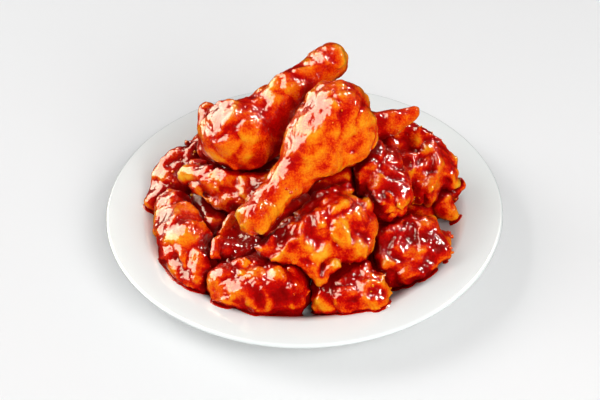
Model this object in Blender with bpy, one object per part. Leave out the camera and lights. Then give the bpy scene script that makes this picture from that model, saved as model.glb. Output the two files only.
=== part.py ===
"""A heaped serving of glazed fried chicken wings and drumsticks on a round white plate.

Every piece of chicken is one closed solid, and so is the plate. Lengths are in millimetres and
the meshes are scaled to metres. +Z is up, the viewer stands at -Y, and the origin is the middle
of the plate's foot, on the table.

A piece is a field: negative in the flesh, zero on the crust. It is built from limbs (tapered
round rods) and lobes (ellipsoids), blended like flesh under skin, with lumps of batter added.
Where two pieces press on each other, both give way to the surface halfway between them.
"""

import math

import bmesh
import bpy
import numpy as np
import openvdb
from mathutils import Euler

MM = 0.001

# Plate
PLATE_RADIUS = 125.0
PLATE_HEIGHT = 26.0
FOOT_RADIUS = 68.0
FOOT_WIDTH = 5.0
FOOT_BEVEL = 1.5
FOOT_HEIGHT = 3.0
WELL_RADIUS = 78.0
WELL_FLOOR = 8.0
WALL_TOP_RADIUS = 104.0
WALL_TOP = 22.5
PLATE_THICKNESS = 4.6
LIP_RADIUS = 1.6
WALL_STEPS = 7
PLATE_SEGMENTS = 64

# Chicken: how widely its shapes blend, the gap at a contact, and the size of the finished facets
FLESH_BLEND = 7.0
SKIN_BLEND = 3.5
HOLLOW_BLEND = 4.0
CONTACT_GAP = 1.6
CONTACT_BLEND = 4.0
CELL = 2.0
TRIANGLE_AREA = 13.4

# Batter: the wavelength and the height of its swells, lumps, folds and grain; a crest is that of
# a lump's crease or of a fold's ridge, and patches have more of the one or of the other
SWELL = (30.0, 4.0)
LUMP = (15.0, 5.4)
FOLD = (20.0, 4.8)
GRAIN = (7.0, 1.6)
CREST_WIDTH = 0.25
CREST_MIDDLE = 0.4
PATCH = 24.0
WARP = (14.0, 4.0)
WARP_OFFSETS = (3.3, 6.1, 9.7)
BATTER_REACH = 7.0
BATTER_FADE = 5.0
SEED_STEP = 17.31

# Colours: a piece's tone runs from the thick dark glaze to the thin orange glaze over its crust
DARK_GLAZE = (0.36, 0.012, 0.004)
THIN_GLAZE = (0.80, 0.16, 0.012)
GLAZE_ROUGHNESS = 0.2
PORCELAIN = (0.86, 0.86, 0.84)
PORCELAIN_ROUGHNESS = 0.15


def clear_scene():
    for obj in list(bpy.data.objects):
        bpy.data.objects.remove(obj, do_unlink=True)


def make_material(name, colour, roughness):
    material = bpy.data.materials.new(name)
    material.use_nodes = True
    shader = material.node_tree.nodes["Principled BSDF"]
    shader.inputs["Base Color"].default_value = (*colour, 1.0)
    shader.inputs["Roughness"].default_value = roughness
    shader.inputs["Metallic"].default_value = 0.0
    return material


# Fields


def smooth_step(t):
    t = np.clip(t, 0.0, 1.0)
    return t * t * (3.0 - 2.0 * t)


def blended_min(a, b, width):
    """The lower of two fields, rounded over where they are within width of each other."""
    h = np.maximum(width - np.abs(a - b), 0.0) / width
    return np.minimum(a, b) - h * h * width * 0.25


def blended_max(a, b, width):
    return -blended_min(-a, -b, width)


def limb(*stations):
    """A rod through stations (x, y, z, radius), tapering from each to the next."""

    def field(points):
        nearest = None
        for near, far in zip(stations, stations[1:]):
            start, end = np.array(near[:3]), np.array(far[:3])
            axis = end - start
            offset = points - start
            t = np.clip(offset @ axis / (axis @ axis), 0.0, 1.0)
            gap = np.linalg.norm(offset - t[:, None] * axis, axis=1)
            distance = gap - (near[3] + t * (far[3] - near[3]))
            nearest = distance if nearest is None else np.minimum(nearest, distance)
        return nearest

    low = np.min([np.array(s[:3]) - s[3] for s in stations], axis=0)
    high = np.max([np.array(s[:3]) + s[3] for s in stations], axis=0)
    return field, low, high


def lobe(centre, radii, turn=(0, 0, 0)):
    """An ellipsoid with its radii turned by Euler angles in degrees."""
    to_local = np.array(Euler([math.radians(a) for a in turn]).to_matrix().transposed())
    radii = np.array(radii, float)
    middle = np.array(centre, float)

    def field(points):
        local = (points - middle) @ to_local.T
        k0 = np.linalg.norm(local / radii, axis=1)
        k1 = np.linalg.norm(local / radii**2, axis=1)
        return k0 * (k0 - 1.0) / np.maximum(k1, 1e-9)

    half = np.sqrt((to_local.T**2) @ radii**2)
    return field, middle - half, middle + half


GRADIENT_COUNT = 256
HASH_PRIMES = (73856093, 19349663, 83492791)
HASH_SHIFT = 9
NOISE_GAIN = 1.6


def gradient_table():
    rng = np.random.default_rng(11)
    table = rng.normal(size=(GRADIENT_COUNT, 3))
    return table / np.linalg.norm(table, axis=1)[:, None]


GRADIENTS = gradient_table()


def noise(points):
    """Smooth gradient noise, about -1 to 1, with one bump to a unit."""
    cell = np.floor(points)
    inside = points - cell
    fade = inside**3 * (inside * (inside * 6.0 - 15.0) + 10.0)
    cell = cell.astype(np.int64)
    codes = [(cell[:, k] * prime, (cell[:, k] + 1) * prime) for k, prime in enumerate(HASH_PRIMES)]
    total = np.zeros(len(points))
    for corner in np.ndindex(2, 2, 2):
        code = codes[0][corner[0]] ^ codes[1][corner[1]] ^ codes[2][corner[2]]
        slope = GRADIENTS[(code ^ (code >> HASH_SHIFT)) % GRADIENT_COUNT]
        share = np.ones(len(points))
        rise = np.zeros(len(points))
        for k, side in enumerate(corner):
            share *= fade[:, k] if side else 1.0 - fade[:, k]
            rise += slope[:, k] * (inside[:, k] - side)
        total += share * rise
    return total * NOISE_GAIN


def crests(points, wavelength, shift):
    """Sharp crests along winding lines, about 1 from crest to hollow and 0 on average."""
    return np.exp(-np.abs(noise(points / wavelength + shift)) / CREST_WIDTH) - CREST_MIDDLE


def batter(points, seed):
    """How far the crust stands out: swells, lumps with creases between, folds with ridges, grain."""
    shift = seed * SEED_STEP
    bend = [noise(points / WARP[0] + shift + offset) for offset in WARP_OFFSETS]
    bent = points + WARP[1] * np.stack(bend, axis=1)
    patch = smooth_step(0.5 + noise(points / PATCH - shift))
    swell = SWELL[1] * noise(points / SWELL[0] + shift)
    lump = -LUMP[1] * (1.0 - patch) * crests(bent, LUMP[0], shift)
    fold = FOLD[1] * patch * crests(bent, FOLD[0], -shift)
    grain = GRAIN[1] * noise(bent / GRAIN[0] + shift)
    return swell + lump + fold + grain


# The plate's upper surface


def plate_surface(radius):
    """Height of the plate's upper surface at a radius: flat well, curved wall, sloping rim."""
    wall = smooth_step((radius - WELL_RADIUS) / (WALL_TOP_RADIUS - WELL_RADIUS))
    rim = np.clip((radius - WALL_TOP_RADIUS) / (PLATE_RADIUS - WALL_TOP_RADIUS), 0.0, 1.0)
    return WELL_FLOOR + wall * (WALL_TOP - WELL_FLOOR) + rim * (PLATE_HEIGHT - WALL_TOP)


# Pieces of chicken. Flesh is limbs and lobes, skin is thin flaps and rims, hollows are scooped out.
# Rough is the share of the batter that a piece has: less on smooth drumsticks and thin skin.

PIECES = {
    "drumstick_front": {
        "seed": 1,
        "tone": 0.9,
        "rough": 0.6,
        "flesh": [
            limb((-28, -57, 62, 11), (-19, -47, 68, 9), (-6, -34, 77, 12), (8, -21, 86, 17)),
            limb((8, -21, 87, 17), (21, -6, 98, 21)),
            lobe((24, -10, 86), (19, 18, 17)),
        ],
    },
    "drumstick_back": {
        "seed": 2,
        "tone": 0.5,
        "rough": 0.65,
        "flesh": [
            limb((18, 42, 105, 11), (6, 36, 101, 10.5), (-8, 26, 95, 12), (-18, 19, 88, 14)),
            lobe((-38, 6, 75), (24, 22, 25)),
            lobe((-24, 12, 76), (18, 16, 17)),
        ],
    },
    "wing_back_left": {
        "seed": 3,
        "tone": 0.4,
        "rough": 0.5,
        "flesh": [
            limb((-60, 34, 75, 4.6), (-60, 28, 66, 5), (-58, 26, 52, 9)),
            limb((-73, 34, 48, 5), (-62, 36, 46, 8)),
            lobe((-56, 40, 34), (20, 18, 17)),
        ],
    },
    "wing_left": {
        "seed": 4,
        "tone": 0.3,
        "rough": 0.55,
        "flesh": [
            limb((-92, 6, 24, 8), (-83, 18, 29, 12), (-70, 29, 34, 13)),
        ],
        "skin": [
            limb((-98, 5, 24, 3), (-94, 18, 31, 4.5), (-88, 27, 38, 5), (-79, 30, 43, 5), (-67, 32, 47, 5)),
        ],
        "hollows": [
            limb((-93, 2, 37, 4), (-80, 13, 46, 7), (-66, 20, 56, 6)),
        ],
    },
    "thigh_left": {
        "seed": 5,
        "tone": 0.55,
        "flesh": [
            limb((-65, -1, 49, 12), (-48, -12, 49, 13.5), (-26, -16, 48, 14)),
            lobe((-44, 0, 38), (22, 18, 15)),
        ],
    },
    "drumette_left": {
        "seed": 6,
        "tone": 0.45,
        "rough": 0.9,
        "flesh": [
            limb((-80, -10, 30, 14), (-71, -42, 29, 17), (-63, -61, 25, 13.5)),
        ],
        "hollows": [lobe((-56, -30, 46), (9, 13, 9))],
    },
    "wing_front_left": {
        "seed": 7,
        "tone": 0.1,
        "rough": 0.4,
        "flesh": [
            lobe((-42, -47, 28), (18, 18, 14)),
        ],
        "skin": [
            limb((-42, -32, 46, 3), (-47, -46, 44, 3), (-54, -54, 42, 3), (-54, -62, 39, 3)),
            limb((-54, -62, 39, 3), (-47, -66, 37, 3), (-38, -64, 38, 3), (-28, -59, 41, 3.5)),
            limb((-42, -34, 38, 4), (-50, -56, 35, 4), (-38, -62, 33, 4)),
        ],
        "hollows": [lobe((-37, -49, 47), (12, 11, 9))],
    },
    "thigh_front_left": {
        "seed": 8,
        "tone": 0.6,
        "rough": 0.9,
        "flesh": [
            lobe((-29, -76, 26), (28, 18, 17)),
            limb((-50, -71, 23, 12), (-30, -79, 21, 13), (-9, -77, 20, 12)),
            lobe((-20, -66, 31), (22, 12, 10)),
        ],
    },
    "wing_front": {
        "seed": 9,
        "tone": 0.7,
        "flesh": [
            limb((-22, -63, 44, 8), (-3, -57, 49, 11), (18, -47, 54, 13), (34, -43, 52, 11)),
            limb((14, -38, 58, 8), (27, -29, 61, 4.5)),
            limb((-14, -66, 42, 7), (4, -66, 43, 9), (24, -62, 42, 8)),
            lobe((0, -46, 44), (18, 12, 10)),
            lobe((27, -55, 47), (12, 10, 9)),
        ],
        "skin": [
            limb((38, -48, 46, 6), (33, -60, 41, 5), (26, -69, 37, 4)),
            limb((0, -72, 42, 5), (9, -80, 34, 4), (16, -74, 40, 5)),
        ],
        "hollows": [lobe((10, -79, 47), (7, 3, 4))],
    },
    "chunk_front": {
        "seed": 10,
        "tone": 0.6,
        "flesh": [
            lobe((25, -78, 23), (22, 16, 15)),
            limb((12, -82, 19, 9), (38, -82, 20, 10)),
            lobe((27, -68, 29), (15, 11, 9)),
        ],
    },
    "thigh_right": {
        "seed": 11,
        "tone": 0.4,
        "flesh": [
            limb((48, -43, 31, 13), (57, -37, 33, 14), (72, -38, 29, 12)),
            limb((50, -57, 22, 12), (63, -56, 20, 12)),
            lobe((68, -50, 27), (14, 12, 10)),
        ],
        "skin": [
            limb((79, -42, 29, 6), (81, -53, 28, 5), (74, -62, 27, 5), (62, -67, 25, 6), (52, -64, 22, 8)),
            limb((79, -30, 30, 3.5), (82, -34, 27, 4), (83, -40, 25, 4)),
        ],
    },
    "drumette_right": {
        "seed": 12,
        "tone": 0.45,
        "rough": 0.8,
        "flesh": [
            limb((38, 4, 60, 13), (43, -12, 59, 16), (50, -30, 52, 13.5)),
            limb((49, -3, 62, 6), (56, -24, 55, 7)),
        ],
    },
    "wing_right": {
        "seed": 13,
        "tone": 0.5,
        "flesh": [
            limb((56, 26, 63, 10), (72, 16, 55, 11), (85, 8, 46, 11)),
            limb((57, 8, 52, 11), (68, 0, 46, 11), (76, -5, 39, 10)),
            limb((88, 14, 43, 9), (89, 3, 38, 8)),
        ],
        "skin": [
            limb((93, 10, 42, 3), (94, 2, 37, 3.4)),
            limb((58, 27, 67, 3), (62, 18, 67, 2.6)),
        ],
        "hollows": [lobe((63, 9, 67), (8, 9, 6), (0, 30, 0))],
    },
    "wing_back_right": {
        "seed": 14,
        "tone": 0.5,
        "rough": 0.5,
        "flesh": [
            limb((68, 15, 83, 4), (57, 12, 79, 7), (45, 13, 75, 9.5), (38, 24, 64, 12)),
            limb((38, 24, 64, 12), (30, 44, 46, 14)),
            lobe((36, 40, 44), (22, 18, 18)),
        ],
    },
    "wing_far_right": {
        "seed": 15,
        "tone": 0.2,
        "rough": 0.8,
        "flesh": [
            limb((86, -5, 28, 10), (94, -12, 22, 5.5)),
            limb((85, 6, 26, 8), (97, 9, 30, 4.5)),
            lobe((76, 4, 24), (18, 16, 12)),
        ],
    },
    "thigh_back": {
        "seed": 16,
        "tone": 0.5,
        "flesh": [
            limb((-24, 57, 34, 16), (0, 56, 42, 18), (24, 60, 32, 15)),
        ],
    },
    "drumette_back_right": {
        "seed": 17,
        "tone": 0.4,
        "flesh": [
            limb((40, 66, 22, 12), (58, 46, 30, 15), (72, 30, 34, 11)),
        ],
    },
    "chunk_back_left": {
        "seed": 18,
        "tone": 0.5,
        "flesh": [
            lobe((-46, 54, 26), (28, 20, 16), (0, 0, 25)),
            limb((-66, 50, 24, 9), (-40, 66, 22, 9)),
        ],
    },
    "chunk_middle_left": {
        "seed": 19,
        "tone": 0.0,
        "flesh": [
            lobe((-24, 8, 34), (26, 30, 22)),
            lobe((-10, -26, 34), (22, 24, 20)),
            lobe((-56, -8, 24), (18, 28, 16)),
        ],
    },
    "chunk_middle_right": {
        "seed": 20,
        "tone": 0.1,
        "flesh": [
            lobe((24, 4, 44), (27, 28, 29)),
            lobe((16, -40, 28), (24, 20, 18)),
        ],
    },
}


def core_field(piece, points):
    """The piece without its batter: flesh blended together, thin skin added, hollows scooped."""
    value = None
    for field, _, _ in piece["flesh"]:
        distance = field(points)
        value = distance if value is None else blended_min(value, distance, FLESH_BLEND)
    for field, _, _ in piece.get("skin", []):
        value = blended_min(value, field(points), SKIN_BLEND)
    for field, _, _ in piece.get("hollows", []):
        value = blended_max(value, -field(points), HOLLOW_BLEND)
    return value


def bare_field(piece, points):
    """The piece by itself with its batter, which fades away well inside and well outside."""
    value = core_field(piece, points)
    share = smooth_step((BATTER_REACH + BATTER_FADE - np.abs(value)) / BATTER_FADE)
    near = share > 0.0
    value[near] -= piece.get("rough", 1.0) * share[near] * batter(points[near], piece["seed"])
    return value


def box_of(piece):
    """Corners of a box round the piece with its batter on."""
    limbs = [*piece["flesh"], *piece.get("skin", [])]
    low = np.min([low for _, low, _ in limbs], axis=0)
    high = np.max([high for _, _, high in limbs], axis=0)
    return low - BATTER_REACH, high + BATTER_REACH


def pressed_field(name, points):
    """The piece where it lies: it gives way to the plate and, halfway, to its neighbours."""
    value = bare_field(PIECES[name], points)
    close = np.flatnonzero(value < BATTER_REACH + CONTACT_BLEND)
    points, own = points[close], value[close]
    pressed = own.copy()
    for other_name, other in PIECES.items():
        low, high = box_of(other)
        margin = 2.0 * CONTACT_BLEND + CONTACT_GAP
        touching = ((points > low - margin) & (points < high + margin)).all(axis=1)
        if other_name == name or not touching.any():
            continue
        halfway = (own[touching] - bare_field(other, points[touching]) + CONTACT_GAP) / 2.0
        pressed[touching] = blended_max(pressed[touching], halfway, CONTACT_BLEND)
    radius = np.hypot(points[:, 0], points[:, 1])
    under = plate_surface(radius) + CONTACT_GAP / 2.0 - points[:, 2]
    value[close] = blended_max(pressed, under, CONTACT_BLEND / 2.0)
    return value


def surface_mesh(name):
    """The points and faces of the piece's crust, read from its field on a grid."""
    low, high = box_of(PIECES[name])
    counts = np.ceil((high - low) / CELL).astype(int) + 1
    index = np.stack(np.meshgrid(*[np.arange(n) for n in counts], indexing="ij"), axis=-1)
    points = low + CELL * index.reshape(-1, 3)
    values = pressed_field(name, points).reshape(counts)
    grid = openvdb.FloatGrid()
    grid.background = float(CELL)
    grid.copyFromArray(np.minimum(values, CELL).astype(np.float32))
    corners, triangles, quads = grid.convertToPolygons(isovalue=0.0, adaptivity=0.0)
    return low + CELL * corners, [*triangles.tolist(), *quads.tolist()]


def keep_largest_island(bm):
    """Drops the crumbs that a neighbour cuts off."""
    unseen = set(bm.verts)
    islands = []
    while unseen:
        island, edge = set(), [unseen.pop()]
        while edge:
            vert = edge.pop()
            island.add(vert)
            for link in vert.link_edges:
                other = link.other_vert(vert)
                if other in unseen:
                    unseen.remove(other)
                    edge.append(other)
        islands.append(island)
    islands.sort(key=len)
    crumbs = [vert for island in islands[:-1] for vert in island]
    bmesh.ops.delete(bm, geom=crumbs, context="VERTS")


def make_piece(name, material):
    corners, faces = surface_mesh(name)
    centre = corners.mean(axis=0)
    mesh = bpy.data.meshes.new(name)
    mesh.from_pydata(((corners - centre) * MM).tolist(), [], faces)
    bm = bmesh.new()
    bm.from_mesh(mesh)
    keep_largest_island(bm)
    bmesh.ops.triangulate(bm, faces=bm.faces)
    bmesh.ops.recalc_face_normals(bm, faces=bm.faces)
    bm.to_mesh(mesh)
    bm.free()
    mesh.shade_smooth()
    mesh.materials.append(material)
    obj = bpy.data.objects.new(name, mesh)
    obj.location = centre * MM
    bpy.context.scene.collection.objects.link(obj)
    area = sum(face.area for face in mesh.polygons) / MM**2
    thin = obj.modifiers.new("Decimate", "DECIMATE")
    thin.ratio = min(1.0, area / TRIANGLE_AREA / len(mesh.polygons))
    return obj


# Plate


def plate_profile():
    """Half of the plate's outline, from the middle of its underside round to the middle above."""
    foot = [
        (0.0, FOOT_HEIGHT),
        (FOOT_RADIUS - FOOT_WIDTH, FOOT_HEIGHT),
        (FOOT_RADIUS - FOOT_WIDTH + FOOT_BEVEL, 0.0),
        (FOOT_RADIUS, 0.0),
        (FOOT_RADIUS + FOOT_BEVEL, FOOT_HEIGHT),
    ]
    wall = np.linspace(WALL_TOP_RADIUS, WELL_RADIUS, WALL_STEPS)
    below_wall = [radius for radius in wall[::-1] if radius > FOOT_RADIUS + PLATE_THICKNESS * 3.0]
    under = [(radius, plate_surface(radius) - PLATE_THICKNESS) for radius in below_wall]
    lip = []
    for angle in (-math.pi / 3.0, 0.0, math.pi / 3.0):
        out = PLATE_RADIUS - LIP_RADIUS + LIP_RADIUS * math.cos(angle)
        lip.append((out, PLATE_HEIGHT - LIP_RADIUS + LIP_RADIUS * math.sin(angle)))
    over = [(radius, plate_surface(radius)) for radius in wall]
    return [*foot, *under, *lip, *over, (0.0, WELL_FLOOR)]


def make_plate(material):
    bm = bmesh.new()
    verts = [bm.verts.new((radius * MM, 0.0, height * MM)) for radius, height in plate_profile()]
    edges = [bm.edges.new(pair) for pair in zip(verts, verts[1:])]
    whole_turn = 2.0 * math.pi
    bmesh.ops.spin(
        bm,
        geom=[*verts, *edges],
        cent=(0, 0, 0),
        axis=(0, 0, 1),
        angle=whole_turn,
        steps=PLATE_SEGMENTS,
        use_merge=True,
    )
    bmesh.ops.remove_doubles(bm, verts=bm.verts, dist=0.01 * MM)
    bmesh.ops.recalc_face_normals(bm, faces=bm.faces)
    mesh = bpy.data.meshes.new("plate")
    bm.to_mesh(mesh)
    bm.free()
    mesh.shade_smooth()
    mesh.materials.append(material)
    obj = bpy.data.objects.new("plate", mesh)
    bpy.context.scene.collection.objects.link(obj)
    return obj


def main():
    clear_scene()
    make_plate(make_material("porcelain", PORCELAIN, PORCELAIN_ROUGHNESS))
    for name, piece in PIECES.items():
        colour = [a + piece["tone"] * (b - a) for a, b in zip(DARK_GLAZE, THIN_GLAZE)]
        make_piece(name, make_material(f"glaze_{name}", colour, GLAZE_ROUGHNESS))


main()
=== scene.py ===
"""A heaped serving of glazed fried chicken wings and drumsticks on a round white plate.

Every piece of chicken of the frame is replaced by a fine mesh of the same form, with its crust in
relief and a glaze that fills the hollows, and the plate by a finely turned one. Sauce that has run
off and crumbs of batter are added. Lengths are in millimetres, and meshes are scaled to metres.
Only the camera, the lights and the floor are given in metres. The viewer stands at -Y.
"""

import math

import bmesh
import bpy
import numpy as np
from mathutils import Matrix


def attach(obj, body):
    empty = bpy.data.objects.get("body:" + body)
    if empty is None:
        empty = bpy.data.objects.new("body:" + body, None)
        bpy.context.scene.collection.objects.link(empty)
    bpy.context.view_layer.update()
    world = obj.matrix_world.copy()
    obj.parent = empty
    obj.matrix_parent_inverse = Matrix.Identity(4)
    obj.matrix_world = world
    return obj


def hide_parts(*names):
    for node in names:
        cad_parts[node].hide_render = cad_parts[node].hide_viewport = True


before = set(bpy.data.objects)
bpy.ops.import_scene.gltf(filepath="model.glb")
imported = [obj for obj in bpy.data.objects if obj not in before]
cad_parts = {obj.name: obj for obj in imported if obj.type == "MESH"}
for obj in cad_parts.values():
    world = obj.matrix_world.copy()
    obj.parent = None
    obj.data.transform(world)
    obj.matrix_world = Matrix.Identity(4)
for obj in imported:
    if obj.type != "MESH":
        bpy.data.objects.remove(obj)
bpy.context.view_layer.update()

import openvdb
from mathutils import Euler, Matrix, Vector

BODY = "root"
MM = 0.001

# Plate, as in the frame. Its wall's underside starts some thicknesses out from the foot.
PLATE_RADIUS = 125.0
PLATE_HEIGHT = 26.0
FOOT_RADIUS = 68.0
FOOT_WIDTH = 5.0
FOOT_BEVEL = 1.5
FOOT_HEIGHT = 3.0
WELL_RADIUS = 78.0
WELL_FLOOR = 8.0
WALL_TOP_RADIUS = 104.0
WALL_TOP = 22.5
PLATE_THICKNESS = 4.6
LIP_RADIUS = 1.6
FOOT_CLEARANCE = 3.0
MERGE_DISTANCE = 0.01
WALL_STEPS = 24
LIP_STEPS = 9
PLATE_SEGMENTS = 192

# Chicken: how widely its shapes blend, the gap at a contact, the cell of its grid
FLESH_BLEND = 7.0
SKIN_BLEND = 3.5
HOLLOW_BLEND = 4.0
CONTACT_GAP = 0.5
CONTACT_BLEND = 4.0
CELL = 1.4

# Noise: its table of slopes, how a cell is hashed into it, and what brings it to about -1 to 1
GRADIENT_COUNT = 256
GRADIENT_SEED = 11
HASH_PRIMES = (73856093, 19349663, 83492791)
HASH_SHIFT = 9
NOISE_GAIN = 1.6

# Batter: the wavelength and the height of its swells, lumps, folds and grain; a crest is that of
# a lump's crease or of a fold's ridge, and patches have more of the one or of the other
SWELL = (30.0, 4.0)
LUMP = (15.0, 5.4)
FOLD = (20.0, 4.8)
GRAIN = (7.0, 1.6)
CREST_WIDTH = 0.25
CREST_MIDDLE = 0.4
PATCH = 24.0
FOLD_SHARE = 0.5
WARP = (14.0, 4.0)
WARP_OFFSETS = (3.3, 6.1, 9.7)
BATTER_REACH = 7.0
BATTER_FADE = 5.0
SEED_STEP = 17.31

# Crust relief: the wavelengths and heights of its crags, from coarse to fine, and what bends them
CRAGS = ((9.0, 0.8), (4.2, 0.65), (2.2, 0.5))
CRAG_WARP = (8.0, 2.2)
CRAG_PATCH = 15.0
CRAG_CONTRAST = 2.0

# Glaze: its level over the crust, its drift, how it meets the crust, and its own fine creases
GLAZE_LEVEL = 0.35
GLAZE_DRIFT = (17.0, 0.6)
GLAZE_BLEND = 0.3
LEVEL_ROUNDS = 10
CREASES = ((7.5, 0.5), (4.4, 0.45))
CREASE_PATCH = 9.0
CREASE_SHARE = 0.7

# Depth of the glaze's colour, in millimetres. It is less on a piece of a high tone, and more in
# hollows, on top, and where the plate or a neighbour is close, which is partly sauce pooled in
# the gap and partly painted shade.
DEPTH_START = 0.4
DEPTH_TONE = 1.2
MIDDLE_TONE = 0.5
DEPTH_DRIFT = (13.0, 1.7)
DEPTH_RANGE = 3.0
RUN_OFF_ROUNDS = 48
RUN_OFF_SHARE = 1.5
FINE_SHARE = 0.35
TOP_SHARE = 0.4
TOP_START = 0.4
# Painted shade, partly pooled sauce: how far ahead the plate and the neighbours are sought, how much
# they deepen the red, and how the room above the plate is scaled.
CROWD_REACHES = (2.5, 6.0, 12.0)
POOL_AND_SHADE_SHARE = 2.6
PLATE_ROOM = 2.5

# Puddle: how low the crust is that stands in it, how it spreads from there, and how thick it is
PUDDLE_CELL = 1.0
PUDDLE_LOW = 2.5
PUDDLE_ROUNDS = 2
PUDDLE_GAIN = 2.0
PUDDLE_START = 0.5
PUDDLE_DRIFT = 12.0
PUDDLE_HEIGHT = 0.7
PUDDLE_SINK = 0.15
PUDDLE_EDGE = 0.15
PUDDLE_DEPTH = (0.0, 1.0)

# Crumbs: how many for each piece, in how many clusters, how far from their middles, and how large,
# stretched, lumpy and deep in colour each is. The lift is a share of a crumb's radius.
CRUMB_SEED = 5
CRUMBS = 16
CRUMB_CLUSTERS = 5
CRUMB_NEAREST = 1.0
CRUMB_SPREAD = 9.0
CRUMB_RADII = (0.4, 1.1)
CRUMB_LUMPS = 1.3
CRUMB_LUMP_HEIGHT = 0.3
CRUMB_LUMP_SHIFT = 7.0
CRUMB_LEAST_STRETCH = 0.7
CRUMB_STRETCH_SPAN = 0.6
CRUMB_LIFT = 0.2
CRUMB_DEPTH = (-1.2, 0.6)

# Colour of the glazed crust by the depth of the glaze, in millimetres
GLAZE_STOPS = (
    (-1.9, (0.87, 0.42, 0.02)),
    (-1.1, (0.86, 0.27, 0.005)),
    (-0.5, (0.83, 0.14, 0.002)),
    (0.0, (0.74, 0.038, 0.0005)),
    (0.5, (0.54, 0.0015, 0.0003)),
    (1.3, (0.32, 0.0004, 0.0003)),
    (2.5, (0.20, 0.0003, 0.0003)),
)

# Noises of the materials: scale and detail. A bump is a strength and a height in millimetres.
SPECK_NOISE = (900.0, 4.0)
SPECK_SHARE = 2.0
GRAIN_NOISE = (600.0, 3.0)
GRAIN_BUMP = (0.7, 0.3)
CRINKLE_NOISE = (450.0, 1.0)
CRINKLE_BUMP = (0.5, 0.4)
CLOUD_NOISE = (20.0, 2.0)

# Coat of the glaze: its weight at two depths, less in the darkest cavities as painted shade that keeps
# highlights out of the gaps
COAT_SHADE_THINS = ((2.2, 1.0), (3.2, 0.15))

# What else the shaders are set to
GLAZE_SOCKETS = {
    "Roughness": 0.3,
    "Specular IOR Level": 0.05,
    "Subsurface Weight": 0.15,
    "Subsurface Radius": (1.0, 0.25, 0.1),
    "Subsurface Scale": 2.0 * MM,
    "Coat Roughness": 0.03,
}
PORCELAIN_STOPS = ((0.3, (0.835, 0.87, 0.86)), (0.7, (0.86, 0.895, 0.885)))
PORCELAIN_SOCKETS = {
    "Roughness": 0.25,
    "Coat Weight": 0.6,
    "Coat Roughness": 0.08,
}
FLOOR_SOCKETS = {
    "Base Color": (0.865, 0.865, 0.865, 1.0),
    "Roughness": 0.8,
    "Specular IOR Level": 0.0,
}

# Studio, in metres: the floor, the world's strength, what the lights face, and their colours
FLOOR_HALF = 3.0
FLOOR_DROP = 0.1 * MM
WORLD_STRENGTH = 0.43
HEAP = (0.0, 0.0, 0.05)
WHITE = (1.0, 1.0, 1.0)
CREAM = (1.0, 0.95, 0.72)
IVORY = (1.0, 0.97, 0.82)

# Camera: its place and aim, in metres, and its roll, in degrees, from the plate's rim in the photo
CAMERA_PLACE = (0.0, -0.68192, 0.60793)
CAMERA_AIM = (-0.00257, -0.00245, 0.03)
CAMERA_ROLL = -1.4636
CAMERA_LENS = 85.0
CAMERA_SENSOR = 36.0


# Fields


def smooth_step(t):
    t = np.clip(t, 0.0, 1.0)
    return t * t * (3.0 - 2.0 * t)


def blended_min(a, b, width):
    """The lower of two fields, rounded over where they are within width of each other."""
    h = np.maximum(width - np.abs(a - b), 0.0) / width
    return np.minimum(a, b) - h * h * width * 0.25


def blended_max(a, b, width):
    return -blended_min(-a, -b, width)


def limb(*stations):
    """A rod through stations (x, y, z, radius), tapering from each to the next."""

    def field(points):
        nearest = None
        for near, far in zip(stations, stations[1:]):
            start, end = np.array(near[:3]), np.array(far[:3])
            axis = end - start
            offset = points - start
            t = np.clip(offset @ axis / (axis @ axis), 0.0, 1.0)
            gap = np.linalg.norm(offset - t[:, None] * axis, axis=1)
            distance = gap - (near[3] + t * (far[3] - near[3]))
            nearest = distance if nearest is None else np.minimum(nearest, distance)
        return nearest

    low = np.min([np.array(s[:3]) - s[3] for s in stations], axis=0)
    high = np.max([np.array(s[:3]) + s[3] for s in stations], axis=0)
    return field, low, high


def lobe(centre, radii, turn=(0, 0, 0)):
    """An ellipsoid with its radii turned by Euler angles in degrees."""
    to_local = np.array(Euler([math.radians(a) for a in turn]).to_matrix().transposed())
    radii = np.array(radii, float)
    middle = np.array(centre, float)

    def field(points):
        local = (points - middle) @ to_local.T
        k0 = np.linalg.norm(local / radii, axis=1)
        k1 = np.linalg.norm(local / radii**2, axis=1)
        return k0 * (k0 - 1.0) / np.maximum(k1, 1e-9)

    half = np.sqrt((to_local.T**2) @ radii**2)
    return field, middle - half, middle + half


def gradient_table():
    """Unit slopes in random directions."""
    rng = np.random.default_rng(GRADIENT_SEED)
    table = rng.normal(size=(GRADIENT_COUNT, 3))
    return table / np.linalg.norm(table, axis=1)[:, None]


GRADIENTS = gradient_table()


def noise(points):
    """Smooth gradient noise, about -1 to 1, with one bump to a unit."""
    cell = np.floor(points)
    inside = points - cell
    fade = inside**3 * (inside * (inside * 6.0 - 15.0) + 10.0)
    cell = cell.astype(np.int64)
    codes = [(cell[:, k] * prime, (cell[:, k] + 1) * prime) for k, prime in enumerate(HASH_PRIMES)]
    total = np.zeros(len(points))
    for corner in np.ndindex(2, 2, 2):
        code = codes[0][corner[0]] ^ codes[1][corner[1]] ^ codes[2][corner[2]]
        slope = GRADIENTS[(code ^ (code >> HASH_SHIFT)) % GRADIENT_COUNT]
        share = np.ones(len(points))
        rise = np.zeros(len(points))
        for k, side in enumerate(corner):
            share *= fade[:, k] if side else 1.0 - fade[:, k]
            rise += slope[:, k] * (inside[:, k] - side)
        total += share * rise
    return total * NOISE_GAIN


def bent_points(points, warp, shift):
    """The points pushed about by noise of a wavelength and a height."""
    bend = [noise(points / warp[0] + shift + offset) for offset in WARP_OFFSETS]
    return points + warp[1] * np.stack(bend, axis=1)


def crests(points, wavelength, shift):
    """Sharp crests along winding lines, about 1 from crest to hollow and 0 on average."""
    return np.exp(-np.abs(noise(points / wavelength + shift)) / CREST_WIDTH) - CREST_MIDDLE


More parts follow.
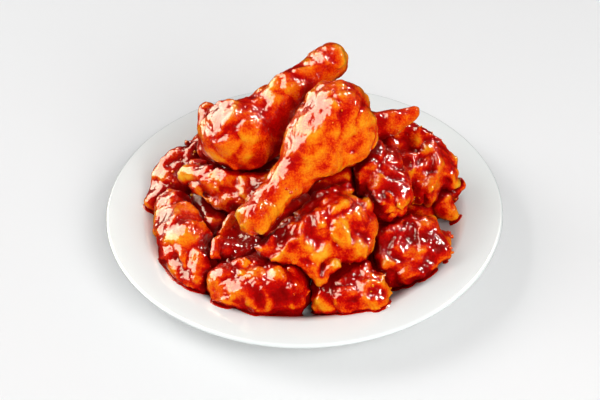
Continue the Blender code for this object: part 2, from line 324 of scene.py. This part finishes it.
def batter(points, seed):
    """How far the crust stands out: swells, lumps with creases between, folds with ridges, grain."""
    shift = seed * SEED_STEP
    bent = bent_points(points, WARP, shift)
    patch = smooth_step(FOLD_SHARE + noise(points / PATCH - shift))
    swell = SWELL[1] * noise(points / SWELL[0] + shift)
    lump = -LUMP[1] * (1.0 - patch) * crests(bent, LUMP[0], shift)
    fold = FOLD[1] * patch * crests(bent, FOLD[0], -shift)
    grain = GRAIN[1] * noise(bent / GRAIN[0] + shift)
    return swell + lump + fold + grain


def plate_surface(radius):
    """Height of the plate's upper surface at a radius: flat well, curved wall, sloping rim."""
    wall = smooth_step((radius - WELL_RADIUS) / (WALL_TOP_RADIUS - WELL_RADIUS))
    rim = np.clip((radius - WALL_TOP_RADIUS) / (PLATE_RADIUS - WALL_TOP_RADIUS), 0.0, 1.0)
    return WELL_FLOOR + wall * (WALL_TOP - WELL_FLOOR) + rim * (PLATE_HEIGHT - WALL_TOP)


# Pieces of chicken. Flesh is limbs and lobes, skin is thin flaps and rims, hollows are scooped out.
# Seed sets a piece's own noise. Tone is how bright its glaze is, from deep red at 0 to orange at 1.
# Rough is the share of the batter that a piece has: less on smooth drumsticks and thin skin.
# A coarse piece is nearly hidden, so its grid has wider cells.

PIECES = {
    "drumstick_front": {
        "seed": 1,
        "tone": 0.82,
        "rough": 0.6,
        "flesh": [
            limb((-28, -57, 62, 11), (-19, -47, 68, 9), (-6, -34, 77, 12), (8, -21, 86, 17)),
            limb((8, -21, 87, 17), (21, -6, 98, 21)),
            lobe((24, -10, 86), (19, 18, 17)),
        ],
    },
    "drumstick_back": {
        "seed": 2,
        "tone": 0.65,
        "rough": 0.65,
        "flesh": [
            limb((18, 42, 105, 11), (6, 36, 101, 10.5), (-8, 26, 95, 12), (-18, 19, 88, 14)),
            lobe((-38, 6, 75), (24, 22, 25)),
            lobe((-24, 12, 76), (18, 16, 17)),
        ],
    },
    "wing_back_left": {
        "seed": 3,
        "tone": 0.4,
        "rough": 0.5,
        "flesh": [
            limb((-60, 34, 75, 4.6), (-60, 28, 66, 5), (-58, 26, 52, 9)),
            limb((-73, 34, 48, 5), (-62, 36, 46, 8)),
            lobe((-56, 40, 34), (20, 18, 17)),
        ],
    },
    "wing_left": {
        "seed": 4,
        "tone": 0.5,
        "rough": 0.55,
        "flesh": [
            limb((-92, 6, 24, 8), (-83, 18, 29, 12), (-70, 29, 34, 13)),
        ],
        "skin": [
            limb(
                (-98, 5, 24, 3),
                (-94, 18, 31, 4.5),
                (-88, 27, 38, 5),
                (-79, 30, 43, 5),
                (-67, 32, 47, 5),
            ),
        ],
        "hollows": [
            limb((-93, 2, 37, 4), (-80, 13, 46, 7), (-66, 20, 56, 6)),
        ],
    },
    "thigh_left": {
        "seed": 5,
        "tone": 0.6,
        "flesh": [
            limb((-65, -1, 49, 12), (-48, -12, 49, 13.5), (-26, -16, 48, 14)),
            lobe((-44, 0, 38), (22, 18, 15)),
        ],
    },
    "drumette_left": {
        "seed": 6,
        "tone": 0.55,
        "rough": 0.9,
        "flesh": [
            limb((-80, -10, 30, 14), (-71, -42, 29, 17), (-63, -61, 25, 13.5)),
        ],
        "hollows": [lobe((-56, -30, 46), (9, 13, 9))],
    },
    "wing_front_left": {
        "seed": 7,
        "tone": 0.35,
        "rough": 0.4,
        "flesh": [
            lobe((-42, -47, 28), (18, 18, 14)),
        ],
        "skin": [
            limb((-42, -32, 46, 3), (-47, -46, 44, 3), (-54, -54, 42, 3), (-54, -62, 39, 3)),
            limb((-54, -62, 39, 3), (-47, -66, 37, 3), (-38, -64, 38, 3), (-28, -59, 41, 3.5)),
            limb((-42, -34, 38, 4), (-50, -56, 35, 4), (-38, -62, 33, 4)),
        ],
        "hollows": [lobe((-37, -49, 47), (12, 11, 9))],
    },
    "thigh_front_left": {
        "seed": 8,
        "tone": 0.45,
        "rough": 0.9,
        "flesh": [
            lobe((-29, -76, 26), (28, 18, 17)),
            limb((-50, -71, 23, 12), (-30, -79, 21, 13), (-9, -77, 20, 12)),
            lobe((-20, -66, 31), (22, 12, 10)),
        ],
    },
    "wing_front": {
        "seed": 9,
        "tone": 0.7,
        "flesh": [
            limb((-22, -63, 44, 8), (-3, -57, 49, 11), (18, -47, 54, 13), (34, -43, 52, 11)),
            limb((14, -38, 58, 8), (27, -29, 61, 4.5)),
            limb((-14, -66, 42, 7), (4, -66, 43, 9), (24, -62, 42, 8)),
            lobe((0, -46, 44), (18, 12, 10)),
            lobe((27, -55, 47), (12, 10, 9)),
        ],
        "skin": [
            limb((38, -48, 46, 6), (33, -60, 41, 5), (26, -69, 37, 4)),
            limb((0, -72, 42, 5), (9, -80, 34, 4), (16, -74, 40, 5)),
        ],
        "hollows": [lobe((10, -79, 47), (7, 3, 4))],
    },
    "chunk_front": {
        "seed": 10,
        "tone": 0.5,
        "flesh": [
            lobe((25, -78, 23), (22, 16, 15)),
            limb((12, -82, 19, 9), (38, -82, 20, 10)),
            lobe((27, -68, 29), (15, 11, 9)),
        ],
    },
    "thigh_right": {
        "seed": 11,
        "tone": 0.15,
        "flesh": [
            limb((48, -43, 31, 13), (57, -37, 33, 14), (72, -38, 29, 12)),
            limb((50, -57, 22, 12), (63, -56, 20, 12)),
            lobe((68, -50, 27), (14, 12, 10)),
        ],
        "skin": [
            limb(
                (79, -42, 29, 6),
                (81, -53, 28, 5),
                (74, -62, 27, 5),
                (62, -67, 25, 6),
                (52, -64, 22, 8),
            ),
            limb((79, -30, 30, 3.5), (82, -34, 27, 4), (83, -40, 25, 4)),
        ],
    },
    "drumette_right": {
        "seed": 12,
        "tone": 0.0,
        "rough": 0.8,
        "flesh": [
            limb((38, 4, 60, 13), (43, -12, 59, 16), (50, -30, 52, 13.5)),
            limb((49, -3, 62, 6), (56, -24, 55, 7)),
        ],
    },
    "wing_right": {
        "seed": 13,
        "tone": 0.5,
        "flesh": [
            limb((56, 26, 63, 10), (72, 16, 55, 11), (85, 8, 46, 11)),
            limb((57, 8, 52, 11), (68, 0, 46, 11), (76, -5, 39, 10)),
            limb((88, 14, 43, 9), (89, 3, 38, 8)),
        ],
        "skin": [
            limb((93, 10, 42, 3), (94, 2, 37, 3.4)),
            limb((58, 27, 67, 3), (62, 18, 67, 2.6)),
        ],
        "hollows": [lobe((63, 9, 67), (8, 9, 6), (0, 30, 0))],
    },
    "wing_back_right": {
        "seed": 14,
        "tone": 0.5,
        "rough": 0.5,
        "flesh": [
            limb((68, 15, 83, 4), (57, 12, 79, 7), (45, 13, 75, 9.5), (38, 24, 64, 12)),
            limb((38, 24, 64, 12), (30, 44, 46, 14)),
            lobe((36, 40, 44), (22, 18, 18)),
        ],
    },
    "wing_far_right": {
        "seed": 15,
        "tone": 0.2,
        "rough": 0.8,
        "flesh": [
            limb((86, -5, 28, 10), (94, -12, 22, 5.5)),
            limb((85, 6, 26, 8), (97, 9, 30, 4.5)),
            lobe((76, 4, 24), (18, 16, 12)),
        ],
    },
    "thigh_back": {
        "seed": 16,
        "tone": 0.5,
        "flesh": [
            limb((-24, 57, 34, 16), (0, 56, 42, 18), (24, 60, 32, 15)),
        ],
    },
    "drumette_back_right": {
        "seed": 17,
        "tone": 0.4,
        "flesh": [
            limb((40, 66, 22, 12), (58, 46, 30, 15), (72, 30, 34, 11)),
        ],
    },
    "chunk_back_left": {
        "seed": 18,
        "tone": 0.5,
        "flesh": [
            lobe((-46, 54, 26), (28, 20, 16), (0, 0, 25)),
            limb((-66, 50, 24, 9), (-40, 66, 22, 9)),
        ],
    },
    "chunk_middle_left": {
        "seed": 19,
        "tone": 0.0,
        "coarse": 1.8,
        "flesh": [
            lobe((-24, 8, 34), (26, 30, 22)),
            lobe((-10, -26, 34), (22, 24, 20)),
            lobe((-56, -8, 24), (18, 28, 16)),
        ],
    },
    "chunk_middle_right": {
        "seed": 20,
        "tone": 0.1,
        "coarse": 1.8,
        "flesh": [
            lobe((24, 4, 44), (27, 28, 29)),
            lobe((16, -40, 28), (24, 20, 18)),
        ],
    },
}


def core_field(piece, points):
    """The piece without its batter: flesh blended together, thin skin added, hollows scooped."""
    value = None
    for field, _, _ in piece["flesh"]:
        distance = field(points)
        value = distance if value is None else blended_min(value, distance, FLESH_BLEND)
    for field, _, _ in piece.get("skin", []):
        value = blended_min(value, field(points), SKIN_BLEND)
    for field, _, _ in piece.get("hollows", []):
        value = blended_max(value, -field(points), HOLLOW_BLEND)
    return value


def bare_field(piece, points):
    """The piece by itself with its batter, which fades away well inside and well outside."""
    value = core_field(piece, points)
    share = smooth_step((BATTER_REACH + BATTER_FADE - np.abs(value)) / BATTER_FADE)
    near = share > 0.0
    value[near] -= piece.get("rough", 1.0) * share[near] * batter(points[near], piece["seed"])
    return value


def box_of(piece):
    """Corners of a box round the piece with its batter on."""
    limbs = [*piece["flesh"], *piece.get("skin", [])]
    low = np.min([low for _, low, _ in limbs], axis=0)
    high = np.max([high for _, _, high in limbs], axis=0)
    return low - BATTER_REACH, high + BATTER_REACH


def pressed_field(name, points):
    """The piece where it lies: it gives way to the plate and, halfway, to its neighbours."""
    value = bare_field(PIECES[name], points)
    close = np.flatnonzero(value < BATTER_REACH + CONTACT_BLEND)
    points, own = points[close], value[close]
    pressed = own.copy()
    for other_name, other in PIECES.items():
        low, high = box_of(other)
        margin = 2.0 * CONTACT_BLEND + CONTACT_GAP
        touching = ((points > low - margin) & (points < high + margin)).all(axis=1)
        if other_name == name or not touching.any():
            continue
        halfway = (own[touching] - bare_field(other, points[touching]) + CONTACT_GAP) / 2.0
        pressed[touching] = blended_max(pressed[touching], halfway, CONTACT_BLEND)
    radius = np.hypot(points[:, 0], points[:, 1])
    under = plate_surface(radius) + CONTACT_GAP / 2.0 - points[:, 2]
    value[close] = blended_max(pressed, under, CONTACT_BLEND / 2.0)
    return value


def surface_mesh(name):
    """The points and faces of the piece's crust, read from its field on a grid."""
    low, high = box_of(PIECES[name])
    cell = CELL * PIECES[name].get("coarse", 1.0)
    counts = np.ceil((high - low) / cell).astype(int) + 1
    index = np.stack(np.meshgrid(*[np.arange(n) for n in counts], indexing="ij"), axis=-1)
    points = low + cell * index.reshape(-1, 3)
    values = pressed_field(name, points).reshape(counts)
    grid = openvdb.FloatGrid()
    grid.background = float(cell)
    grid.copyFromArray(np.minimum(values, cell).astype(np.float32))
    corners, triangles, quads = grid.convertToPolygons(isovalue=0.0, adaptivity=0.0)
    return low + cell * corners, [*triangles.tolist(), *quads.tolist()]


def keep_largest_island(bm):
    """Drops the crumbs that a neighbour cuts off."""
    unseen = set(bm.verts)
    islands = []
    while unseen:
        island, edge = set(), [unseen.pop()]
        while edge:
            vert = edge.pop()
            island.add(vert)
            for link in vert.link_edges:
                other = link.other_vert(vert)
                if other in unseen:
                    unseen.remove(other)
                    edge.append(other)
        islands.append(island)
    islands.sort(key=len)
    crumbs = [vert for island in islands[:-1] for vert in island]
    bmesh.ops.delete(bm, geom=crumbs, context="VERTS")


# Meshes


def add_object(name, mesh, material):
    """An object of the serving, which rides on the plate's body."""
    mesh.materials.append(material)
    mesh.shade_smooth()
    obj = bpy.data.objects.new(name, mesh)
    bpy.context.scene.collection.objects.link(obj)
    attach(obj, BODY)
    return obj


def subdivided(mesh):
    """A copy of the mesh with one round of smooth subdivision."""
    carrier = bpy.data.objects.new("carrier", mesh)
    bpy.context.scene.collection.objects.link(carrier)
    modifier = carrier.modifiers.new("Subdivision", "SUBSURF")
    modifier.levels = 1
    modifier.render_levels = 1
    evaluated = carrier.evaluated_get(bpy.context.evaluated_depsgraph_get())
    fine = bpy.data.meshes.new_from_object(evaluated)
    bpy.data.objects.remove(carrier)
    bpy.data.meshes.remove(mesh)
    return fine


def mesh_numbers(collection, key, width, kind=np.float32):
    """A mesh's numbers, such as its vertices' places, as an array with width columns."""
    numbers = np.zeros(len(collection) * width, kind)
    collection.foreach_get(key, numbers)
    return numbers.reshape(-1, width)


def neighbour_mean(values, edges):
    """Each vertex's mean over its neighbours."""
    count = len(values)
    ends = np.concatenate([edges[:, 0], edges[:, 1]])
    others = np.concatenate([edges[:, 1], edges[:, 0]])
    degree = np.maximum(np.bincount(ends, minlength=count), 1)
    if values.ndim == 1:
        return np.bincount(ends, values[others], count) / degree
    columns = [np.bincount(ends, values[others, k], count) / degree for k in range(values.shape[1])]
    return np.stack(columns, axis=1)


def crust_relief(points, piece):
    """The crags of the crust at each vertex: lumps between creases here, ridges there."""
    shift = piece["seed"] * SEED_STEP
    bent = bent_points(points, CRAG_WARP, shift)
    patch = np.clip(CRAG_CONTRAST * noise(points / CRAG_PATCH + shift), -1.0, 1.0)
    rise = np.zeros(len(points))
    for wavelength, height in CRAGS:
        rise += height * patch * crests(bent, wavelength, shift)
        rise += height * (1.0 - np.abs(patch)) * noise(bent / wavelength - shift)
    return piece.get("rough", 1.0) * rise


def levelled(values, edges, rounds):
    """The values smoothed over the mesh, halfway to their neighbours' mean in each round."""
    for _ in range(rounds):
        values = (values + neighbour_mean(values, edges)) / 2.0
    return values


def crowd_pool_and_shade(name, points, normals):
    """How close other pieces, and the plate, are ahead of each vertex: 0 far, 1 against it. It serves
    as painted shade, partly pooled sauce, that deepens the red in the gaps.
    """
    total = np.zeros(len(points))
    for reach in CROWD_REACHES:
        ahead = points + reach * normals
        room = PLATE_ROOM * (ahead[:, 2] - plate_surface(np.hypot(ahead[:, 0], ahead[:, 1])))
        for other_name, other in PIECES.items():
            low, high = box_of(other)
            near = ((ahead > low - reach) & (ahead < high + reach)).all(axis=1)
            if other_name == name or not near.any():
                continue
            room[near] = np.minimum(room[near], core_field(other, ahead[near]))
        total += np.clip(1.0 - room / reach, 0.0, 1.0)
    return total / len(CROWD_REACHES)


def glaze_over(name, points, normals, edges):
    """How far the glaze raises each vertex of the crust, and how deep its colour is there."""
    piece = PIECES[name]
    shift = piece["seed"] * SEED_STEP
    level = levelled(points, edges, LEVEL_ROUNDS)
    lie = ((level - points) * normals).sum(axis=1)
    lie += GLAZE_LEVEL + GLAZE_DRIFT[1] * noise(points / GLAZE_DRIFT[0] + shift)
    rise = blended_max(lie, 0.0, GLAZE_BLEND)
    bent = bent_points(points, CRAG_WARP, shift)
    patch = smooth_step(CREASE_SHARE + noise(points / CREASE_PATCH + shift))
    for wavelength, height in CREASES:
        rise -= height * patch * crests(bent, wavelength, -shift)
    wide = levelled(level, edges, RUN_OFF_ROUNDS)
    depth = DEPTH_START + FINE_SHARE * (lie - GLAZE_LEVEL) - DEPTH_TONE * (piece["tone"] - MIDDLE_TONE)
    drift = piece.get("rough", 1.0) * DEPTH_DRIFT[1]
    depth += drift * noise(points / DEPTH_DRIFT[0] - shift)
    depth += RUN_OFF_SHARE * ((wide - level) * normals).sum(axis=1)
    depth += TOP_SHARE * (normals[:, 2] - TOP_START)
    # Painted shade in the gaps between pieces and against the plate, partly sauce pooled there: a
    # deeper, darker red.
    depth += POOL_AND_SHADE_SHARE * crowd_pool_and_shade(name, points, normals)
    return rise, depth


def set_depth(mesh, depth):
    """Stores the depth of the glaze's colour on the vertices, for the material."""
    attribute = mesh.attributes.new("glaze", "FLOAT", "POINT")
    attribute.data.foreach_set("value", depth.astype(np.float32))


def make_chicken(name, material):
    """Makes the finished piece that replaces the frame's node; returns its crust's points, normals."""
    corners, faces = surface_mesh(name)
    mesh = bpy.data.meshes.new(f"glazed_{name}")
    mesh.from_pydata((corners * MM).tolist(), [], faces)
    bm = bmesh.new()
    bm.from_mesh(mesh)
    keep_largest_island(bm)
    bmesh.ops.recalc_face_normals(bm, faces=bm.faces)
    bm.to_mesh(mesh)
    bm.free()
    mesh = subdivided(mesh)
    mesh.name = f"glazed_{name}"
    points = mesh_numbers(mesh.vertices, "co", 3).astype(float) / MM
    normals = mesh_numbers(mesh.vertex_normals, "vector", 3).astype(float)
    edges = mesh_numbers(mesh.edges, "vertices", 2, np.int32)
    points += crust_relief(points, PIECES[name])[:, None] * normals
    rise, depth = glaze_over(name, points, normals, edges)
    points += rise[:, None] * normals
    mesh.vertices.foreach_set("co", (points * MM).astype(np.float32).ravel())
    set_depth(mesh, depth)
    mesh.update()
    obj = add_object(mesh.name, mesh, material)
    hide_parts(name)
    return points, normals


def make_puddle(crusts, material):
    """The sauce that has run off onto the plate where the crust comes down to it."""
    span = np.arange(-WALL_TOP_RADIUS, WALL_TOP_RADIUS, PUDDLE_CELL)
    count = len(span)
    crust = np.concatenate([points for points, _ in crusts])
    low = crust[:, 2] < plate_surface(np.hypot(crust[:, 0], crust[:, 1])) + PUDDLE_LOW
    cells = np.round((crust[low, :2] - span[0]) / PUDDLE_CELL).astype(int)
    cells = cells[((cells >= 0) & (cells < count)).all(axis=1)]
    wet = np.zeros((count, count))
    wet[cells[:, 0], cells[:, 1]] = 1.0
    for _ in range(PUDDLE_ROUNDS):
        sides = [np.roll(wet, step, axis) for step in (-1, 1) for axis in (0, 1)]
        wet = (wet + sum(sides)) / (1 + len(sides))
    x, y = [side.ravel() for side in np.meshgrid(span, span, indexing="ij")]
    floor = plate_surface(np.hypot(x, y))
    points = np.stack([x, y, floor], axis=1)
    fill = PUDDLE_GAIN * wet.ravel() * (1.0 + noise(points / PUDDLE_DRIFT)) - PUDDLE_START
    fill = np.clip(fill, 0.0, 1.0)
    points[:, 2] = floor + PUDDLE_HEIGHT * fill - PUDDLE_SINK
    first = (np.arange(count - 1)[:, None] * count + np.arange(count - 1)).ravel()
    quads = np.stack([first, first + count, first + count + 1, first + 1], axis=1)
    quads = quads[(fill[quads] > PUDDLE_EDGE).any(axis=1)]
    used, quads = np.unique(quads, return_inverse=True)
    mesh = bpy.data.meshes.new("sauce_puddle")
    mesh.from_pydata((points[used] * MM).tolist(), [], quads.reshape(-1, 4).tolist())
    set_depth(mesh, PUDDLE_DEPTH[0] + (PUDDLE_DEPTH[1] - PUDDLE_DEPTH[0]) * fill[used])
    add_object("sauce_puddle", mesh, material)


def make_crumbs(crusts, material):
    """Small crumbs of batter that stick in the glaze, in clusters on every piece."""
    rng = np.random.default_rng(CRUMB_SEED)
    ball = bmesh.new()
    bmesh.ops.create_icosphere(ball, subdivisions=2, radius=1.0)
    rounds = np.array([vert.co[:] for vert in ball.verts])
    sides = np.array([[vert.index for vert in face.verts] for face in ball.faces])
    ball.free()
    corners, faces, depths = [], [], []
    for points, normals in crusts:
        centres = points[rng.integers(0, len(points), CRUMB_CLUSTERS)]
        for k in range(CRUMBS):
            around = np.linalg.norm(points - centres[k % CRUMB_CLUSTERS], axis=1)
            place = rng.choice(np.flatnonzero(around < CRUMB_SPREAD * rng.random() + CRUMB_NEAREST))
            size = CRUMB_RADII[0] + (CRUMB_RADII[1] - CRUMB_RADII[0]) * rng.random() ** 2
            lumps = noise(rounds * CRUMB_LUMPS + CRUMB_LUMP_SHIFT * len(corners))
            shape = rounds * (1.0 + CRUMB_LUMP_HEIGHT * lumps[:, None])
            shape = shape * size * (CRUMB_LEAST_STRETCH + CRUMB_STRETCH_SPAN * rng.random(3))
            corners.append(points[place] + CRUMB_LIFT * size * normals[place] + shape)
            faces.append(sides + len(rounds) * len(faces))
            depths.append(np.full(len(rounds), rng.uniform(*CRUMB_DEPTH)))
    mesh = bpy.data.meshes.new("crumbs")
    mesh.from_pydata((np.concatenate(corners) * MM).tolist(), [], np.concatenate(faces).tolist())
    set_depth(mesh, np.concatenate(depths))
    add_object("crumbs", mesh, material)


def plate_profile():
    """Half of the plate's outline, from the middle of its underside round to the middle above."""
    foot = [
        (0.0, FOOT_HEIGHT),
        (FOOT_RADIUS - FOOT_WIDTH, FOOT_HEIGHT),
        (FOOT_RADIUS - FOOT_WIDTH + FOOT_BEVEL, 0.0),
        (FOOT_RADIUS, 0.0),
        (FOOT_RADIUS + FOOT_BEVEL, FOOT_HEIGHT),
    ]
    wall = np.linspace(WALL_TOP_RADIUS, WELL_RADIUS, WALL_STEPS)
    start = FOOT_RADIUS + PLATE_THICKNESS * FOOT_CLEARANCE
    below_wall = [radius for radius in wall[::-1] if radius > start]
    under = [(radius, plate_surface(radius) - PLATE_THICKNESS) for radius in below_wall]
    lip = []
    for angle in np.linspace(-math.pi / 2.0, math.pi / 2.0, LIP_STEPS):
        out = PLATE_RADIUS - LIP_RADIUS + LIP_RADIUS * math.cos(angle)
        lip.append((out, PLATE_HEIGHT - LIP_RADIUS + LIP_RADIUS * math.sin(angle)))
    over = [(radius, plate_surface(radius)) for radius in wall]
    return [*foot, *under, *lip, *over, (0.0, WELL_FLOOR)]


def make_plate(material):
    """The plate as a finely turned body."""
    bm = bmesh.new()
    verts = [bm.verts.new((radius * MM, 0.0, height * MM)) for radius, height in plate_profile()]
    edges = [bm.edges.new(pair) for pair in zip(verts, verts[1:])]
    bmesh.ops.spin(
        bm,
        geom=[*verts, *edges],
        cent=(0, 0, 0),
        axis=(0, 0, 1),
        angle=2.0 * math.pi,
        steps=PLATE_SEGMENTS,
        use_merge=True,
    )
    bmesh.ops.remove_doubles(bm, verts=bm.verts, dist=MERGE_DISTANCE * MM)
    bmesh.ops.recalc_face_normals(bm, faces=bm.faces)
    mesh = bpy.data.meshes.new("glazed_plate")
    bm.to_mesh(mesh)
    bm.free()
    obj = add_object("glazed_plate", mesh, material)
    obj.visible_glossy = False
    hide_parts("plate")


# Materials


def new_material(name):
    """A node material with its shader, a function that adds nodes and one that links them."""
    material = bpy.data.materials.new(name)
    material.use_nodes = True
    tree = material.node_tree
    return material, tree.nodes["Principled BSDF"], tree.nodes.new, tree.links.new


def colour_ramp(add, stops):
    """A ramp node with stops (position, linear colour)."""
    ramp = add("ShaderNodeValToRGB")
    elements = ramp.color_ramp.elements
    while len(elements) < len(stops):
        elements.new(0.5)
    for element, (position, colour) in zip(elements, stops):
        element.position = position
        element.color = (*colour, 1.0)
    return ramp


def set_sockets(node, values):
    """Sets the node's sockets to the values under their names."""
    for name, value in values.items():
        node.inputs[name].default_value = value


def noise_node(add, link, place, noise_kind):
    """A noise texture of a scale and a detail over the object's own coordinates."""
    node = add("ShaderNodeTexNoise")
    set_sockets(node, {"Scale": noise_kind[0], "Detail": noise_kind[1]})
    link(place.outputs["Object"], node.inputs["Vector"])
    return node


def map_node(add, start, end):
    """A node that maps a value along the line between two points (from, to)."""
    node = add("ShaderNodeMapRange")
    set_sockets(node, {"From Min": start[0], "From Max": end[0], "To Min": start[1], "To Max": end[1]})
    return node


def link_bump(add, link, texture, bump, socket):
    """Turns a texture into a normal, by a bump's strength and height, for a socket."""
    node = add("ShaderNodeBump")
    set_sockets(node, {"Strength": bump[0], "Distance": bump[1] * MM})
    link(texture.outputs["Fac"], node.inputs["Height"])
    link(node.outputs["Normal"], socket)


def glaze_material():
    """Crisp orange crust where the glaze is thin, deep wet red where it has pooled, and a painted
    shade of dark red, with a thinner coat, in the gaps between pieces.
    """
    material, shader, add, link = new_material("glazed_crust")
    attribute = add("ShaderNodeAttribute")
    attribute.attribute_name = "glaze"
    place = add("ShaderNodeTexCoord")
    speck = noise_node(add, link, place, SPECK_NOISE)
    uneven = add("ShaderNodeMath")
    uneven.operation = "MULTIPLY_ADD"
    uneven.inputs[1].default_value = SPECK_SHARE
    link(speck.outputs["Fac"], uneven.inputs[0])
    link(attribute.outputs["Fac"], uneven.inputs[2])
    middle = SPECK_SHARE / 2.0
    spread = map_node(add, (middle - DEPTH_RANGE, 0.0), (middle + DEPTH_RANGE, 1.0))
    link(uneven.outputs["Value"], spread.inputs["Value"])
    stops = [(0.5 + depth / DEPTH_RANGE / 2.0, colour) for depth, colour in GLAZE_STOPS]
    ramp = colour_ramp(add, stops)
    link(spread.outputs["Result"], ramp.inputs["Fac"])
    link(ramp.outputs["Color"], shader.inputs["Base Color"])
    grain = noise_node(add, link, place, GRAIN_NOISE)
    link_bump(add, link, grain, GRAIN_BUMP, shader.inputs["Normal"])
    crinkle = noise_node(add, link, place, CRINKLE_NOISE)
    link_bump(add, link, crinkle, CRINKLE_BUMP, shader.inputs["Coat Normal"])
    # Painted shade: the coat thins where the glaze is deepest, in the gaps, to dull their highlights.
    coat = map_node(add, *COAT_SHADE_THINS)
    link(attribute.outputs["Fac"], coat.inputs["Value"])
    link(coat.outputs["Result"], shader.inputs["Coat Weight"])
    set_sockets(shader, GLAZE_SOCKETS)
    return material


def porcelain_material():
    """White glazed porcelain."""
    material, shader, add, link = new_material("porcelain")
    cloud = noise_node(add, link, add("ShaderNodeTexCoord"), CLOUD_NOISE)
    ramp = colour_ramp(add, PORCELAIN_STOPS)
    link(cloud.outputs["Fac"], ramp.inputs["Fac"])
    link(ramp.outputs["Color"], shader.inputs["Base Color"])
    set_sockets(shader, PORCELAIN_SOCKETS)
    return material


def floor_material():
    """Plain white ground without gloss."""
    material, shader, _, _ = new_material("floor")
    set_sockets(shader, FLOOR_SOCKETS)
    return material


# Studio


def make_floor():
    """A wide square just under the plate's foot."""
    mesh = bpy.data.meshes.new("floor")
    sides = [(-1.0, -1.0), (1.0, -1.0), (1.0, 1.0), (-1.0, 1.0)]
    corners = [(FLOOR_HALF * x, FLOOR_HALF * y, 0.0) for x, y in sides]
    mesh.from_pydata(corners, [], [(0, 1, 2, 3)])
    mesh.materials.append(floor_material())
    floor = bpy.data.objects.new("floor", mesh)
    floor.location.z = -FLOOR_DROP
    floor.visible_glossy = False
    bpy.context.scene.collection.objects.link(floor)


def add_softbox(name, place, size, power, colour=WHITE, shines=True, mirrored=True):
    """A square area light turned to the heap, that lights it or is only mirrored in it, or both."""
    light = bpy.data.lights.new(name, "AREA")
    light.shape = "SQUARE"
    light.size = size
    light.energy = power
    light.color = colour
    lamp = bpy.data.objects.new(name, light)
    lamp.location = place
    lamp.rotation_euler = (Vector(HEAP) - Vector(place)).to_track_quat("-Z", "Y").to_euler()
    lamp.visible_diffuse = shines
    lamp.visible_glossy = mirrored
    bpy.context.scene.collection.objects.link(lamp)


def light_studio():
    """Soft light from the left, the front and all round, and warm highlights in the glaze."""
    world = bpy.data.worlds.new("studio")
    bpy.context.scene.world = world
    world.use_nodes = True
    background = world.node_tree.nodes["Background"]
    set_sockets(background, {"Color": (*WHITE, 1.0), "Strength": WORLD_STRENGTH})
    world.cycles_visibility.glossy = False
    add_softbox("key", (-1.7, 0.3, 1.5), size=1.3, power=22.0, mirrored=False)
    add_softbox("fill", (0.8, -1.4, 1.2), size=1.2, power=28.0, mirrored=False)
    add_softbox("window", (-0.86, 0.28, 0.72), size=1.5, power=79.0, colour=CREAM, shines=False)
    add_softbox("kicker", (0.45, 0.6, 0.85), size=0.22, power=8.5, colour=IVORY, shines=False)
    add_softbox("spark", (0.8, 0.1, 0.75), size=0.22, power=9.5, colour=IVORY, shines=False)
    bpy.context.scene.view_settings.view_transform = "Standard"


def place_camera():
    """The camera that takes the photo's view."""
    camera = bpy.data.cameras.new("camera")
    camera.lens = CAMERA_LENS
    camera.sensor_width = CAMERA_SENSOR
    eye = bpy.data.objects.new("camera", camera)
    aim = (Vector(CAMERA_AIM) - Vector(CAMERA_PLACE)).to_track_quat("-Z", "Y")
    roll = Matrix.Rotation(math.radians(CAMERA_ROLL), 4, "Z")
    eye.matrix_world = Matrix.Translation(CAMERA_PLACE) @ aim.to_matrix().to_4x4() @ roll
    bpy.context.scene.collection.objects.link(eye)
    bpy.context.scene.camera = eye


def build_scene():
    """The camera, the studio, the plate and the heap, with the sauce and crumbs last."""
    place_camera()
    light_studio()
    make_floor()
    make_plate(porcelain_material())
    glaze = glaze_material()
    crusts = [make_chicken(name, glaze) for name in PIECES]
    make_puddle(crusts, glaze)
    make_crumbs(crusts, glaze)


build_scene()
